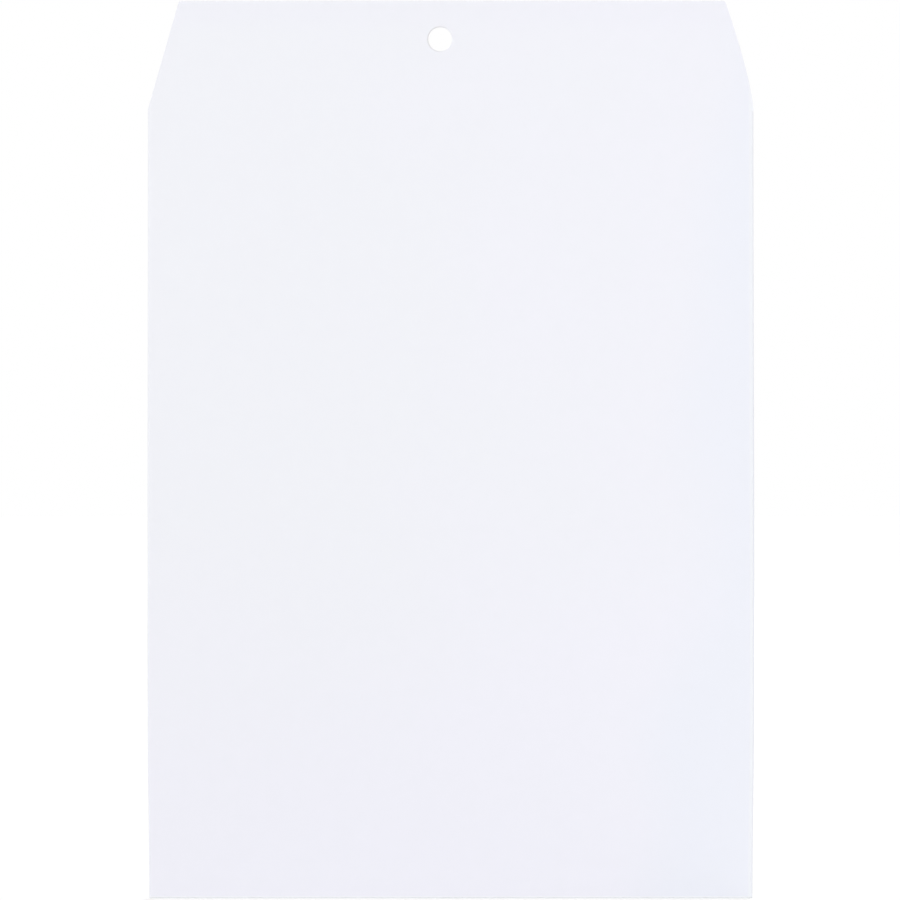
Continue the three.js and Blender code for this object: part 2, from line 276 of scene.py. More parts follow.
def slack(x, z):
    """How far the whole body lies behind flat: two slanting waves that die out at its ends."""
    waves = wave(x, z, LONG_WAVE, LONG_START) + SHORT_SHARE * wave(x, z, SHORT_WAVE, SHORT_START)
    return SLACK * body_rise(z) * waves


def belly(x, z):
    """1 in the middle of the body and 0 at its rims: a squared sine up, a squared cosine across."""
    return body_rise(z) * np.cos(np.pi / 2 * np.clip(x / bend, -1, 1)) ** 2


def front_surface(x, z):
    """Middle of the front ply and of the seal flap above it.

    It is flat but for the slack, the belly, a bell curve for the pressed score, and the flap's
    curl, which grows with the square of the height and waves along the flap by a sine.
    """
    rise = np.clip((z - score) / (flap_tip - score), 0, 1)
    along = np.sin(2 * np.pi * (x / CURL_WAVE + CURL_START))
    curl = FLAP_CURL * rise**2 * (1 - CURL_SHARE + CURL_SHARE * along)
    crease = SCORE_DEPTH * np.exp(-(((z - score) / SCORE_WIDTH) ** 2))
    return front_y + slack(x, z) - FRONT_BELLY * belly(x, z) - crease - curl


def back_surface(x, z, y):
    """Middle of a back ply that lies at y where it is flat."""
    return y + slack(x, z) + BACK_BELLY * belly(x, z)


def fold(turn, front, back, edge, depth, pinch):
    """From the front ply at turn 0, out to the edge and on to the back ply at turn 1.

    An ellipse whose cosine is raised to the power pinch: over 1 it is creased, under 1 squarer.
    """
    angle = np.pi * turn
    out = edge - depth + depth * np.sin(angle)
    pinched = np.sign(np.cos(angle)) * abs(np.cos(angle)) ** pinch
    y = (front + back) / 2 - (back - front) / 2 * pinched
    return out, y


def run_length(x, y):
    """Length along a line of points, from its first point."""
    return np.concatenate([[0], np.cumsum(np.hypot(np.diff(x), np.diff(y)))])


def cells(rows, columns):
    """The four corners of every cell of a grid, as numbers of its points."""
    first = (np.arange(rows - 1)[:, None] * columns + np.arange(columns - 1)).ravel()
    return first[:, None] + np.array([0, 1, columns + 1, columns])


def patch(x, y, z, u, v, w=0, keep=None):
    """A grid of points, their places on the flat blank, and its cells, or those to keep."""
    x, y, z, u, v, w = np.broadcast_arrays(x, y, z, u, v, w)
    points = np.stack([x, y, z], axis=-1).reshape(-1, 3)
    blank = np.stack([u, v, w], axis=-1).reshape(-1, 3)
    corners = cells(*x.shape)
    if keep is not None:
        corners = corners[keep.ravel()]
    return points, blank, corners


def drawn(patches):
    """The patches with sides that bow out below mid height and draw in at the bottom.

    The bow is a squared sine of the height raised to a power, and drawing in is a smooth step.
    """
    moved = []
    for points, blank, corners in patches:
        x, y, z = points.T
        turn = np.pi * np.clip(z / score, 0, 1) ** BOW_LOW
        bow = np.where(x > 0, RIGHT_BOW, LEFT_BOW) * np.sin(turn) ** 2
        draw_in = np.where(x > 0, RIGHT_DRAW_IN, LEFT_DRAW_IN) * smooth(-z, -DRAW_IN_FROM, 0)
        x = x * (1 + (bow - draw_in) / half_width)
        moved.append((np.stack([x, y, z], axis=1), blank, corners))
    return moved


def weld(name, patches):
    """One mesh of several patches, where points that fall together become one.

    They are compared in whole steps. The shift keeps round places clear of where a step ends.
    """
    points = np.concatenate([p for p, _, _ in patches])
    blank = np.concatenate([b for _, b, _ in patches])
    starts = np.cumsum([0] + [len(p) for p, _, _ in patches])
    corners = np.concatenate([c + start for (_, _, c), start in zip(patches, starts)])
    keys = np.floor(points / WELD + WELD_SHIFT).astype(np.int64)
    _, first, place = np.unique(keys, axis=0, return_index=True, return_inverse=True)
    mesh = bpy.data.meshes.new(name)
    mesh.from_pydata(points[first].tolist(), [], place.ravel()[corners].tolist())
    attribute = mesh.attributes.new("blank", "FLOAT_VECTOR", "POINT")
    attribute.data.foreach_set("vector", blank[first].ravel())
    piece = bpy.data.objects.new(name, mesh)
    bpy.context.scene.collection.objects.link(piece)
    return piece


def thicken(piece, thickness, sharp=PAPER_SHARP):
    """Gives a surface its thickness, smooth faces and sharp rims.

    Its far side and its rim take the second and the third material, where there are three.
    """
    solidify = piece.modifiers.new("thickness", "SOLIDIFY")
    solidify.thickness = thickness
    solidify.offset = 0
    solidify.use_even_offset = True
    solidify.material_offset = 1
    solidify.material_offset_rim = 2
    bpy.context.view_layer.update()
    thick = piece.evaluated_get(bpy.context.evaluated_depsgraph_get())
    solid = bpy.data.meshes.new_from_object(thick)
    piece.modifiers.clear()
    piece.data = solid
    solid.shade_smooth()
    solid.set_sharp_from_angle(angle=math.radians(sharp))


# Places of the mesh's columns and rows, closer together at the clasp's slits and at the hole
over_clasp = ((2, -SLIT_FAR), (2, -SLIT_NEAR), (8, SLIT_NEAR), (2, SLIT_FAR), (2, HOLE_BLOCK))
across_clasp = tuple((count, hole_x + x) for count, x in over_clasp)
columns = spread(
    -left_bend,
    (LEFT_COLUMNS, hole_x - HOLE_BLOCK),
    *across_clasp,
    (RIGHT_COLUMNS, bend),
)
side_low = BOTTOM_FOLD_DEPTH + SIDE_CLEARANCE
side_high = score - SCORE_CUT
rows = spread(
    BOTTOM_FOLD_DEPTH,
    (1, side_low),
    (BODY_ROWS, clasp_z - SLIT_BLOCK),
    (6, clasp_z - SLIT_HIGH),
    (1, clasp_z - SLIT_LOW),
    (6, clasp_z + SLIT_LOW),
    (1, clasp_z + SLIT_HIGH),
    (6, clasp_z + SLIT_BLOCK),
    (9, mouth),
    (3, side_high),
    (1, score),
)
side_rows = rows[1:-1]
flap_rows = spread(
    score,
    (5, score + SCORE_NEAR),
    (2, score + SCORE_FAR),
    (8, hole_z - HOLE_BLOCK),
    (16, hole_z + HOLE_BLOCK),
    (3, flap_tip - TIP_CORNER),
    (4, flap_tip),
)


def with_ears(half):
    """The front's columns, carried on in even steps from each bend out to half."""
    left_ear = np.linspace(-half, -left_bend, EAR_STEPS + 1)[:-1]
    right_ear = np.linspace(bend, half, EAR_STEPS + 1)[1:]
    return np.concatenate([left_ear, columns, right_ear])


def front_ply():
    """The front between its folds: x across, z up, and y from the front surface."""
    x = columns
    z = rows[:, None]
    return patch(x, front_surface(x, z), z, x, z)


def side_ply(side, y, depth, free_edge):
    """A side fold and its back ply, drawn outwards and back again, without its slits.

    The top edge dips evenly to the free edge. The right one's free edge lifts by a smooth step.
    """
    turn = np.linspace(0, 1, FOLD_STEPS + 1)
    panel_end = edge - depth
    fold_out, fold_y = fold(turn, front_y, y, edge, depth, SIDE_PINCH)
    clasp_out = side * hole_x
    near_clasp = tuple((count, clasp_out - x) for count, x in over_clasp)
    up_to_clasp = (BACK_COLUMNS, clasp_out + HOLE_BLOCK)
    flat_out = spread(panel_end, up_to_clasp, *near_clasp, (1, free_edge))[1:]
    out = np.concatenate([fold_out, flat_out])
    flat = np.concatenate([fold_y, np.full(len(flat_out), y)])
    u = side * (panel_end + run_length(out, flat))
    behind = np.arange(len(out)) >= len(turn)
    round_fold = smooth(np.append(turn, np.ones(len(flat_out))), *DIP_ROUND_FOLD)
    to_free_edge = np.where(behind, MOUTH_DIP * (panel_end - out) / (panel_end - free_edge), 0)
    dip = (side_high - mouth) * round_fold + to_free_edge
    share = (side_rows[:, None] - side_low) / (side_high - side_low)
    near_top = smooth(side_rows[:, None], clasp_z + SLIT_HIGH, side_high)
    z = side_low + (side_high - side_low) * share - dip * near_top
    lift = EDGE_LIFT * smooth(-out, -free_edge - EDGE_LOOSE, -free_edge) if side > 0 else 0
    x = side * out
    surface = flat + slack(x, z) + np.where(behind, BACK_BELLY * belly(x, z) + lift, 0)
    middle_out = abs((out[1:] + out[:-1]) / 2 - clasp_out)
    middle_z = abs((side_rows[1:] + side_rows[:-1])[:, None] / 2 - clasp_z)
    slit = (middle_out > SLIT_NEAR) & (middle_out < SLIT_FAR)
    slit = slit & (middle_z > SLIT_LOW) & (middle_z < SLIT_HIGH)
    way = slice(None, None, side)
    return patch(x[way], surface[:, way], z[:, way], u[way], z[:, way], keep=~slit[:, way])


def bottom_ply():
    """The bottom flap from its free edge down, round the fold and up to the front.

    Its ends taper evenly to corners that are quarter circles, and it drops at the seam.
    """
    half = half_width - CORNER_NOTCH
    share = with_ears(half) / half
    arc = np.linspace(math.pi / 2, 0, CORNER_STEPS + 1)
    round_up = bottom_high.z - BOTTOM_CORNER * (1 - np.sin(arc))
    up = np.concatenate([round_up, spread(round_up[-1], (BOTTOM_ROWS, BOTTOM_FOLD_DEPTH))[1:]])
    slant = (bottom_high.z - up) / (bottom_high.z - BOTTOM_FOLD_DEPTH)
    corner = BOTTOM_CORNER * (1 - np.append(np.cos(arc), np.ones(len(up) - len(arc))))
    back_half = half - BOTTOM_TAPER * (1 - slant) - corner
    turn = np.linspace(1, 0, FOLD_STEPS + 1)[1:]
    reach = np.concatenate([back_half, np.full(len(turn), half)])
    x = reach[:, None] * share
    over_left = 1 - smooth(x, right_low.x - SEAM_STEP, right_low.x)
    back = bottom_y - (right_y - left_y) * over_left
    depth = BOTTOM_FOLD_DEPTH - ply / 2
    down, y = fold(turn[:, None], front_y, back[-1], depth, depth, BOTTOM_PINCH)
    z = np.concatenate([up, BOTTOM_FOLD_DEPTH - down[:, 0]])[:, None]
    lift = EDGE_LIFT * smooth(up, bottom_high.z - EDGE_LOOSE, bottom_high.z)[:, None]
    behind = back_surface(x[: len(up)], up[:, None], back[: len(up)]) + lift
    round_fold = y + slack(x[len(up) :], z[len(up) :])
    surface = np.concatenate([behind, round_fold])
    v = BOTTOM_FOLD_DEPTH - run_length(z[:, 0], surface[:, 0])[::-1]
    return patch(x, surface, z, x, v[:, None])


def seal_flap_ply():
    """The seal flap above the score, each row as wide as the die cut it, and the hole's ring.

    The left end is a straight line and the right one a power of the height. The ring's rows
    close in from the block of cells it replaces to the circle of the hole.
    """
    wide = with_ears(half_width)
    share = (wide + half_width) / (2 * half_width)
    z = flap_rows[:, None]
    into_corner = np.clip((z - flap_tip + TIP_CORNER) / TIP_CORNER, 0, 1)
    corner = TIP_CORNER * (1 - np.sqrt(1 - into_corner**2))
    up_left = np.clip((z - score - SHOULDER_LEFT) / (flap_tip - score - SHOULDER_LEFT), 0, 1)
    up_right = np.clip((z - score - SHOULDER_RIGHT) / (flap_tip - score - SHOULDER_RIGHT), 0, 1)
    left = -half_width + (TIP_LEFT + half_width) * up_left
    right = half_width + (TIP_RIGHT - half_width) * up_right**RIGHT_CURVE
    x = left + corner + (right - left - 2 * corner) * share
    low_row, high_row = (np.argmin(abs(flap_rows - hole_z - s * HOLE_BLOCK)) for s in (-1, 1))
    first, last = (np.argmin(abs(wide - hole_x - s * HOLE_BLOCK)) for s in (-1, 1))
    row, column = np.indices((len(flap_rows) - 1, len(wide) - 1))
    around = (row < low_row) | (row >= high_row) | (column < first) | (column >= last)
    flat = patch(x, front_surface(x, z), z, x, z, keep=around)
    rim_row = np.concatenate([
        np.full(last - first, low_row),
        np.arange(low_row, high_row),
        np.full(last - first, high_row),
        np.arange(high_row, low_row - 1, -1),
    ])
    rim_column = np.concatenate([
        np.arange(first, last),
        np.full(high_row - low_row, last),
        np.arange(last, first, -1),
        np.full(high_row - low_row + 1, first),
    ])
    rim_x = x[rim_row, rim_column] - hole_x
    rim_z = flap_rows[rim_row] - hole_z
    reach = np.hypot(rim_x, rim_z)
    ring = np.linspace(1, 0, RING_STEPS + 1)[:, None] ** RING_GATHER
    scale = (HOLE_RADIUS + (reach - HOLE_RADIUS) * ring) / reach
    ring_x = hole_x + rim_x * scale
    ring_z = hole_z + rim_z * scale
    return flat, patch(ring_x, front_surface(ring_x, ring_z), ring_z, ring_x, ring_z)


def set_inputs(node, values):
    """Gives a node's inputs their values, each a link or what the input holds by itself."""
    for name, value in values.items():
        if isinstance(value, Socket):
            value.tree.links.new(value.output, node.inputs[name])
        else:
            node.inputs[name].default_value = value


class Socket:
    """A value in a material's nodes. Sums such as 1 - a or a * b add their Math nodes."""

    def __init__(self, tree, output=None):
        self.tree = tree
        self.output = output

    def node(self, kind, settings=None, inputs=None, out=0):
        """Adds any node: its settings, and a value or a link for each input. out is its output."""
        node = self.tree.nodes.new(kind)
        for name, value in (settings or {}).items():
            setattr(node, name, value)
        set_inputs(node, inputs or {})
        return Socket(self.tree, node.outputs[out])

    def __add__(self, other):
        return self.node("ShaderNodeMath", {"operation": "ADD"}, {0: self, 1: other})

    def __sub__(self, other):
        return self.node("ShaderNodeMath", {"operation": "SUBTRACT"}, {0: self, 1: other})

    def __rsub__(self, other):
        return self.node("ShaderNodeMath", {"operation": "SUBTRACT"}, {0: other, 1: self})

    def __mul__(self, other):
        return self.node("ShaderNodeMath", {"operation": "MULTIPLY"}, {0: self, 1: other})

    def __truediv__(self, other):
        return self.node("ShaderNodeMath", {"operation": "DIVIDE"}, {0: self, 1: other})

    def __rtruediv__(self, other):
        return self.node("ShaderNodeMath", {"operation": "DIVIDE"}, {0: other, 1: self})

    def __abs__(self):
        return self.node("ShaderNodeMath", {"operation": "ABSOLUTE"}, {0: self})

    __radd__ = __add__
    __rmul__ = __mul__


def material_nodes(name):
    """A new material, its node tree's start and its main shader."""
    material = bpy.data.materials.new(name)
    material.use_nodes = True
    tree = material.node_tree
    return material, Socket(tree), tree.nodes["Principled BSDF"]


def noise(place, size, detail=2, roughness=0.5):
    """Noise around 0.5 whose blotches are about size metres across."""
    inputs = {"Vector": place, "Scale": 1 / size, "Detail": detail, "Roughness": roughness}
    return place.node("ShaderNodeTexNoise", None, inputs)


def ramp(value, low, high):
    """0 at low, 1 at high, and a smooth step in between. high may be the smaller of the two."""
    inputs = {"Value": value, "From Min": low, "From Max": high}
    return value.node("ShaderNodeMapRange", {"interpolation_type": "SMOOTHSTEP"}, inputs)


def blend_colour(factor, one, other):
    """Mixes two colours, each a link or three numbers, by a value."""
    one, other = (c if isinstance(c, Socket) else (*c, 1) for c in (one, other))
    inputs = {0: factor, 6: one, 7: other}
    return factor.node("ShaderNodeMix", {"data_type": "RGBA"}, inputs, out=2)


def stretched(place, factors):
    """A place whose three numbers are multiplied by factors."""
    inputs = {0: place, 1: factors}
    return place.node("ShaderNodeVectorMath", {"operation": "MULTIPLY"}, inputs)


def bump(height, strength, distance):
    """A normal that follows a height, at most distance metres high."""
    inputs = {"Strength": strength, "Distance": distance, "Height": height}
    return height.node("ShaderNodeBump", None, inputs)


def blank_place(start):
    """A piece's place on its flat blank, as a vector, and its three numbers."""
    place = start.node("ShaderNodeAttribute", {"attribute_name": "blank"}, None, out="Vector")
    split = place.node("ShaderNodeSeparateXYZ", None, {0: place}).output.node
    return place, *(Socket(place.tree, number) for number in split.outputs)


def wove_paper(name, show_through, painted_shading):
    """Wove paper: noise makes the clouds of its pulp, its fibres and a slow drift in its painted
    tint of the light.

    Smooth steps across the blank make the gum that shows through the flap, painted highlights on
    the folds, a painted shadow line along the right one, and lopsided painted shade round the hole.
    """
    material, start, shader = material_nodes(name)
    place, across, up, _ = blank_place(start)
    cloud = noise(place, CLOUD_SIZE, detail=3, roughness=0.55)
    fibre = noise(place, FIBRE_SIZE, detail=4, roughness=0.65)
    drift = noise(place, DRIFT_SIZE, detail=1)

    gum_low, gum_high = (flap_tip - below for below in GUM_BELOW_TIP)
    gummed = ramp(up, gum_low, gum_high) * show_through
    # Painted light: the tint turns violet low down and to the right, and cooler at the right, as
    # the light falls there.
    before_fold = ramp(across, half_width + PAST_FOLD, half_width)
    rightwards = ramp(across + drift * VIOLET_DRIFT_ACROSS, *VIOLET_RIGHTWARDS) * before_fold
    downwards = ramp(up + drift * VIOLET_DRIFT_UP, *VIOLET_DOWNWARDS)
    violet = rightwards * VIOLET_SHARE + downwards + gummed
    slanting = across - up * COOL_SLANT + drift * COOL_DRIFT
    cool = ramp(slanting, *COOL_RIGHTWARDS) * before_fold
    tint = blend_colour(cool, blend_colour(violet, PAPER, PAPER_VIOLET), PAPER_COOL)

    pulp = ramp(cloud * 0.5 + fibre * 0.5, *PULP)
    tint = blend_colour(pulp * PULP_SHARE + gummed * GUM_DULLS, tint, PAPER_DULL)

    from_crease = abs(across - (bend + FOLD_DEPTH * CREASE_PLACE))
    from_bottom = abs(up + BOTTOM_FOLD_DEPTH)
    # Painted highlight: lighter bands along the right fold and the bottom fold
    bottom_fold_highlight = ramp(from_bottom, *BOTTOM_FOLD_HIGHLIGHT) * BOTTOM_HIGHLIGHT_SHARE
    pressed_and_highlight = ramp(from_crease, *SIDE_FOLD_HIGHLIGHT) + bottom_fold_highlight
    tint = blend_colour(pressed_and_highlight * painted_shading, tint, PAPER_FOLD_HIGHLIGHT)
    # Painted shadow: a thin dark line at the right fold's edge, strongest partway up the side
    crease_shadow_height = ramp(up, *CREASE_SHADOW_FROM_BOTTOM) * ramp(up, *CREASE_SHADOW_FROM_TOP)
    crease_shadow = ramp(from_crease, *CREASE_SHADOW_WIDTH) * crease_shadow_height * painted_shading * CREASE_SHADOW_SHARE
    tint = blend_colour(crease_shadow, tint, PAPER_CREASE_SHADOW)

    # Painted shade: a thin dark ring round the hole, heavier on its upper left
    out_x = across - hole_x
    out_z = up - hole_z
    squares = out_x * out_x + out_z * out_z
    reach = squares.node("ShaderNodeMath", {"operation": "SQRT"}, {0: squares})
    leftwards = (out_z * HOLE_SHADE_TILT - out_x) / reach
    lopsided = ramp(leftwards + drift * HOLE_SHADE_DRIFT, *HOLE_SHADE_ROUND)
    shade_end, shade_start = (HOLE_RADIUS + width for width in HOLE_SHADE_WIDTH)
    hole_shade = ramp(reach, shade_end, shade_start) * lopsided
    tint = blend_colour(hole_shade * painted_shading * HOLE_SHADE_SHARE, tint, PAPER_HOLE_SHADE)

    set_inputs(shader, {
        "Base Color": tint,
        "Roughness": PAPER_ROUGHNESS + fibre * FIBRE_ROUGHNESS,
        "Specular IOR Level": PAPER_SPECULAR,
        "Normal": bump(fibre * 0.7 + cloud * 0.3, PAPER_BUMP, PAPER_RELIEF),
    })
    return material


# The last number sets how strong the painted highlight, shadow line and hole shade are.
outside = wove_paper("wove_outside", show_through=0.5, painted_shading=0.5)
inside = wove_paper("wove_inside", show_through=0, painted_shading=0.2)
cut_edge = wove_paper("wove_cut_edge", show_through=0, painted_shading=0.5)

sheet = weld("paper_sheet", drawn([
    front_ply(),
    side_ply(-1, left_y, LEFT_FOLD_DEPTH, -left_high.x),
    side_ply(1, right_y, FOLD_DEPTH, right_low.x),
    bottom_ply(),
    *seal_flap_ply(),
]))
for finish in (outside, inside, cut_edge):
    sheet.data.materials.append(finish)
thicken(sheet, ply)
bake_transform(sheet)
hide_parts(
    "front_panel", "left_side_flap", "right_side_flap", "bottom_fold", "bottom_flap",
    "seal_flap",
)


# The paste
# Thin films of cream paste, dried between the plies: one down the seam, clear of the clasp's
# slits, and one under each half of the bottom flap. The roller leaves their edges wavy.
PASTE_WAVE = 0.0004
PASTE_WAVE_UP = 0.013
PASTE_WAVE_ACROSS = 0.017
PASTE_THICKNESS = 0.000024
PASTE_CLOUD = 0.004
PASTE_THICK = (0.35, 0.65)
PASTE_RELIEF = 0.00003
PASTE = (0.79, 0.77, 0.68)

seam_low, seam_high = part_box("centre_seam_glue")
left_paste_low, left_paste_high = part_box("left_bottom_glue")
right_paste_low, right_paste_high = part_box("right_bottom_glue")


def film(low, high, y, across, up):
    """A film from low to high, level with a back ply at y, in across by up points.

    Its edges wave by a sine of the way along them, and the wave dies out evenly to the middle.
    """
    z = np.linspace(low.z, high.z, up)[:, None]
    share = np.linspace(0, 1, across)
    x = low.x + (high.x - low.x) * share
    x = x + PASTE_WAVE * (2 * share - 1) * np.sin(2 * np.pi * z / PASTE_WAVE_UP)
    up_share = 2 * (z - low.z) / (high.z - low.z) - 1
    z = z + PASTE_WAVE * up_share * np.sin(2 * np.pi * x / PASTE_WAVE_ACROSS)
    return patch(x, back_surface(x, z, y), z, x, z)


def paste_finish():
    """Dried paste: noise makes it a dull cream where it lies thick and glossier where thin."""
    material, start, shader = material_nodes("dried_paste")
    place, *_ = blank_place(start)
    thick = ramp(noise(place, PASTE_CLOUD, detail=3), *PASTE_THICK)
    set_inputs(shader, {
        "Base Color": blend_colour(thick, PAPER, PASTE),
        "Roughness": 0.4 + thick * 0.3,
        "Normal": bump(thick, 0.3, PASTE_RELIEF),
    })
    return material


dried_paste = paste_finish()
# Each film lies halfway between two plies. The bottom flap drops a ply left of the seam.
seam_y = (left_y + right_y) / 2
left_film_y = (left_y + bottom_y - right_y + left_y) / 2
right_film_y = (right_y + bottom_y) / 2
seam_film = film(seam_low, seam_high, seam_y, across=12, up=150)
left_film = film(left_paste_low, left_paste_high, left_film_y, across=60, up=8)
right_film = film(right_paste_low, right_paste_high, right_film_y, across=60, up=8)
for name, surface, node in (
    ("seam_paste", seam_film, "centre_seam_glue"),
    ("left_bottom_paste", left_film, "left_bottom_glue"),
    ("right_bottom_paste", right_film, "right_bottom_glue"),
):
    paste = weld(name, [surface])
    paste.data.materials.append(dried_paste)
    thicken(paste, PASTE_THICKNESS)
    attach(paste, "pocket")
    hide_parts(node)


# The seal gum
# Two bands of remoistenable gum rolled on to the flap's inner face, which dry to a faint cream
# gloss. They end short of the patch round the hole, and the film has crazed finely as it dried.
GUM_CORNER = 0.005
GUM_WAVE = 0.00022
GUM_LONG_WAVE = 0.021
GUM_SHORT_WAVE = 0.0083
GUM_SHORT_SHARE = 0.5
GUM_CLEAR = 0.013
GUM_ROWS = 41
GUM_COLUMNS = 90
GUM_CLOUD = 0.009
GUM_THICK = (0.3, 0.7)
GUM_CRAZING = 900
GUM_CELLS = (1, 0.25, 1)
GUM_CRACK = (0.06, 0)
GUM_RELIEF = 0.00012
GUM = (0.86, 0.845, 0.78)

gum_boxes = {side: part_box(f"{side}_seal_gum") for side in ("left", "right")}
gum_thickness = gum_boxes["left"][1].y - gum_boxes["left"][0].y


def gum_band(low, high, side):
    """A band from its rounded outer end to the clear circle round the hole, row by row.

    It lies on the flap, and its long edges wave by two sines.
    """
    z = np.linspace(low.z, high.z, GUM_ROWS)[:, None]
    from_end = np.clip(GUM_CORNER - np.minimum(z - low.z, high.z - z), 0, GUM_CORNER)
    inset = GUM_CORNER - np.sqrt(GUM_CORNER**2 - from_end**2)
    outer = (low.x if side < 0 else high.x) - side * inset
    inner = hole_x + side * np.sqrt(GUM_CLEAR**2 - (z - hole_z) ** 2)
    share = np.linspace(0, 1, GUM_COLUMNS)[::side]
    x = inner + (outer - inner) * share
    edge_share = 2 * (z - low.z) / (high.z - low.z) - 1
    long_wave = np.sin(2 * np.pi * x / GUM_LONG_WAVE)
    short_wave = np.sin(2 * np.pi * x / GUM_SHORT_WAVE)
    z = z + GUM_WAVE * edge_share * (long_wave + GUM_SHORT_SHARE * short_wave)
    y = front_surface(x, z) + ply / 2 + gum_thickness / 2
    return patch(x, y, z, x, z)


def gum_finish():
    """Dried gum: noise makes it glossier where it lies thick, and a cell pattern crazes it."""
    material, start, shader = material_nodes("dried_gum")
    place, *_ = blank_place(start)
    cloud = noise(place, GUM_CLOUD, detail=3, roughness=0.6)
    inputs = {"Vector": stretched(place, GUM_CELLS), "Scale": GUM_CRAZING}
    crazed = start.node("ShaderNodeTexVoronoi", {"feature": "DISTANCE_TO_EDGE"}, inputs)
    crack = ramp(crazed, *GUM_CRACK)
    thick = ramp(cloud, *GUM_THICK)
    set_inputs(shader, {
        "Base Color": blend_colour(0.4 + thick * 0.3 + crack * 0.2, PAPER, GUM),
        "Roughness": 0.42 - thick * 0.14 + crack * 0.2,
        "Normal": bump(cloud * 0.8 - crack * 0.3, 0.35, GUM_RELIEF),
    })
    return material


dried_gum = gum_finish()
for side, way in (("left", -1), ("right", 1)):
    gum = weld(f"{side}_gum_band", [gum_band(*gum_boxes[side], way)])
    gum.data.materials.append(dried_gum)
    thicken(gum, gum_thickness)
    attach(gum, "flap")
    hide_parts(f"{side}_seal_gum")


# The hole patch
# A round of white paper pasted on the flap's inner face before the hole is punched through both,
# so that the clasp does not tear the flap. Its outer edge is pressed thin.
PATCH_PRESSED = 0.0009
PATCH_SINKS = 0.35
PATCH_SHARE = 0.96
PATCH_STEPS = 96
PATTERN_SHIFT = 0.3

patch_radius = (patch_high.x - patch_low.x) / 2
patch_ply = patch_high.y - patch_low.y

reach = spread(HOLE_RADIUS, (8, patch_radius - PATCH_PRESSED), (3, patch_radius))[:, None]
angle = np.linspace(0, 2 * np.pi, PATCH_STEPS + 1)
ring_x = hole_x + reach * np.sin(angle)
ring_z = hole_z + reach * np.cos(angle)
pressed_and_highlight = PATCH_SINKS * smooth(reach, patch_radius - PATCH_PRESSED, patch_radius)
ring_y = front_surface(ring_x, ring_z) + ply / 2 + patch_ply * (0.5 - pressed_and_highlight)
ring = patch(ring_x, ring_y, ring_z, ring_x + PATTERN_SHIFT, ring_z)
hole_patch = weld("paper_patch", [ring])
for finish in (inside, inside, cut_edge):
    hole_patch.data.materials.append(finish)
thicken(hole_patch, patch_ply * PATCH_SHARE)
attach(hole_patch, "flap")
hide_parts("hole_patch")


# The clasp's base
# One strip of tinned sheet steel, 0.2 mm by 6 mm. It is folded back on itself at both ends, its
# two necks stand up in the middle, and four teeth go through the seam and are clinched inside.
METAL = 0.0002
LAYER_GAP = 0.00004
BEND_RADIUS = 0.0002
BEND_STEPS = 6
NECK_SPACING = 0.0014
NECK_HALF = 0.0018
STRIP_CROWN = 0.00003
CROWN_FROM = 0.002
STRIP_STEP = 0.0004
STRIP_COLUMNS = 13
TOOTH_HALF = 0.0008
TOOTH_LENGTH = 0.0022
TOOTH_TAPER = 0.67
TOOTH_TIP = 0.04
TOOTH_OUT = 0.0061
TOOTH_STEP = 0.0002
TOOTH_COLUMNS = 7
METAL_SHARP = 50
TIN = (0.60, 0.595, 0.57)
TIN_WORN = (0.44, 0.435, 0.42)
TIN_BRIGHT = (0.74, 0.735, 0.71)
ROLLED_SIZE = 0.00012
ROLLED_ALONG = (0.06, 1, 0)
DULLED_SIZE = 0.0016
DULLED = (0.42, 0.66)
SCRATCH_SIZE = 0.00016
SCRATCH_ALONG = (0.05, 1, 0)
SCRATCH_ANGLE = 0.7
SCRATCHED = (0.66, 0.72)
# Edges lighter by wear and a painted highlight
EDGE_WEAR_AND_SHEEN = (0.86, 1)
TIN_RELIEF = 0.00002

clasp_x = (clasp_low.x + clasp_high.x) / 2
strip_half = (clasp_high.z - clasp_low.z) / 2
joints = {joint["name"]: joint["pos_m"] for joint in frame["joints"]}
neck_top = clasp_high.y
lower_y = right_high.y + METAL / 2
upper_y = lower_y + METAL + LAYER_GAP


def rounded_path(corners, radius):
    """A path of straight runs at right angles, with every corner rounded by a quarter circle."""
    points = np.array(corners, float)
    turn = np.linspace(0, np.pi / 2, BEND_STEPS + 1)[:, None]
    parts = [points[:1]]
    for before, at, after in zip(points[:-2], points[1:-1], points[2:]):
        back = before - at
        on = after - at
        reach = min(radius, np.linalg.norm(back) / 2, np.linalg.norm(on) / 2)
        back = back / np.linalg.norm(back) * reach
        on = on / np.linalg.norm(on) * reach
        parts.append(at + back * (1 - np.sin(turn)) + on * (1 - np.cos(turn)))
    path = np.concatenate([*parts, points[-1:]])
    moved = np.hypot(*np.diff(path, axis=0).T) > WELD
    return path[np.append(True, moved)]


def refined(path, step):
    """The same path with points at most step apart."""
    counts = np.maximum(1, np.ceil(np.hypot(*np.diff(path, axis=0).T) / step)).astype(int)
    runs = [np.linspace(i, i + 1, count, endpoint=False) for i, count in enumerate(counts)]
    at = np.concatenate([*runs, [len(counts)]])
    index = np.arange(len(path))
    return np.stack([np.interp(at, index, path[:, 0]), np.interp(at, index, path[:, 1])], axis=1)


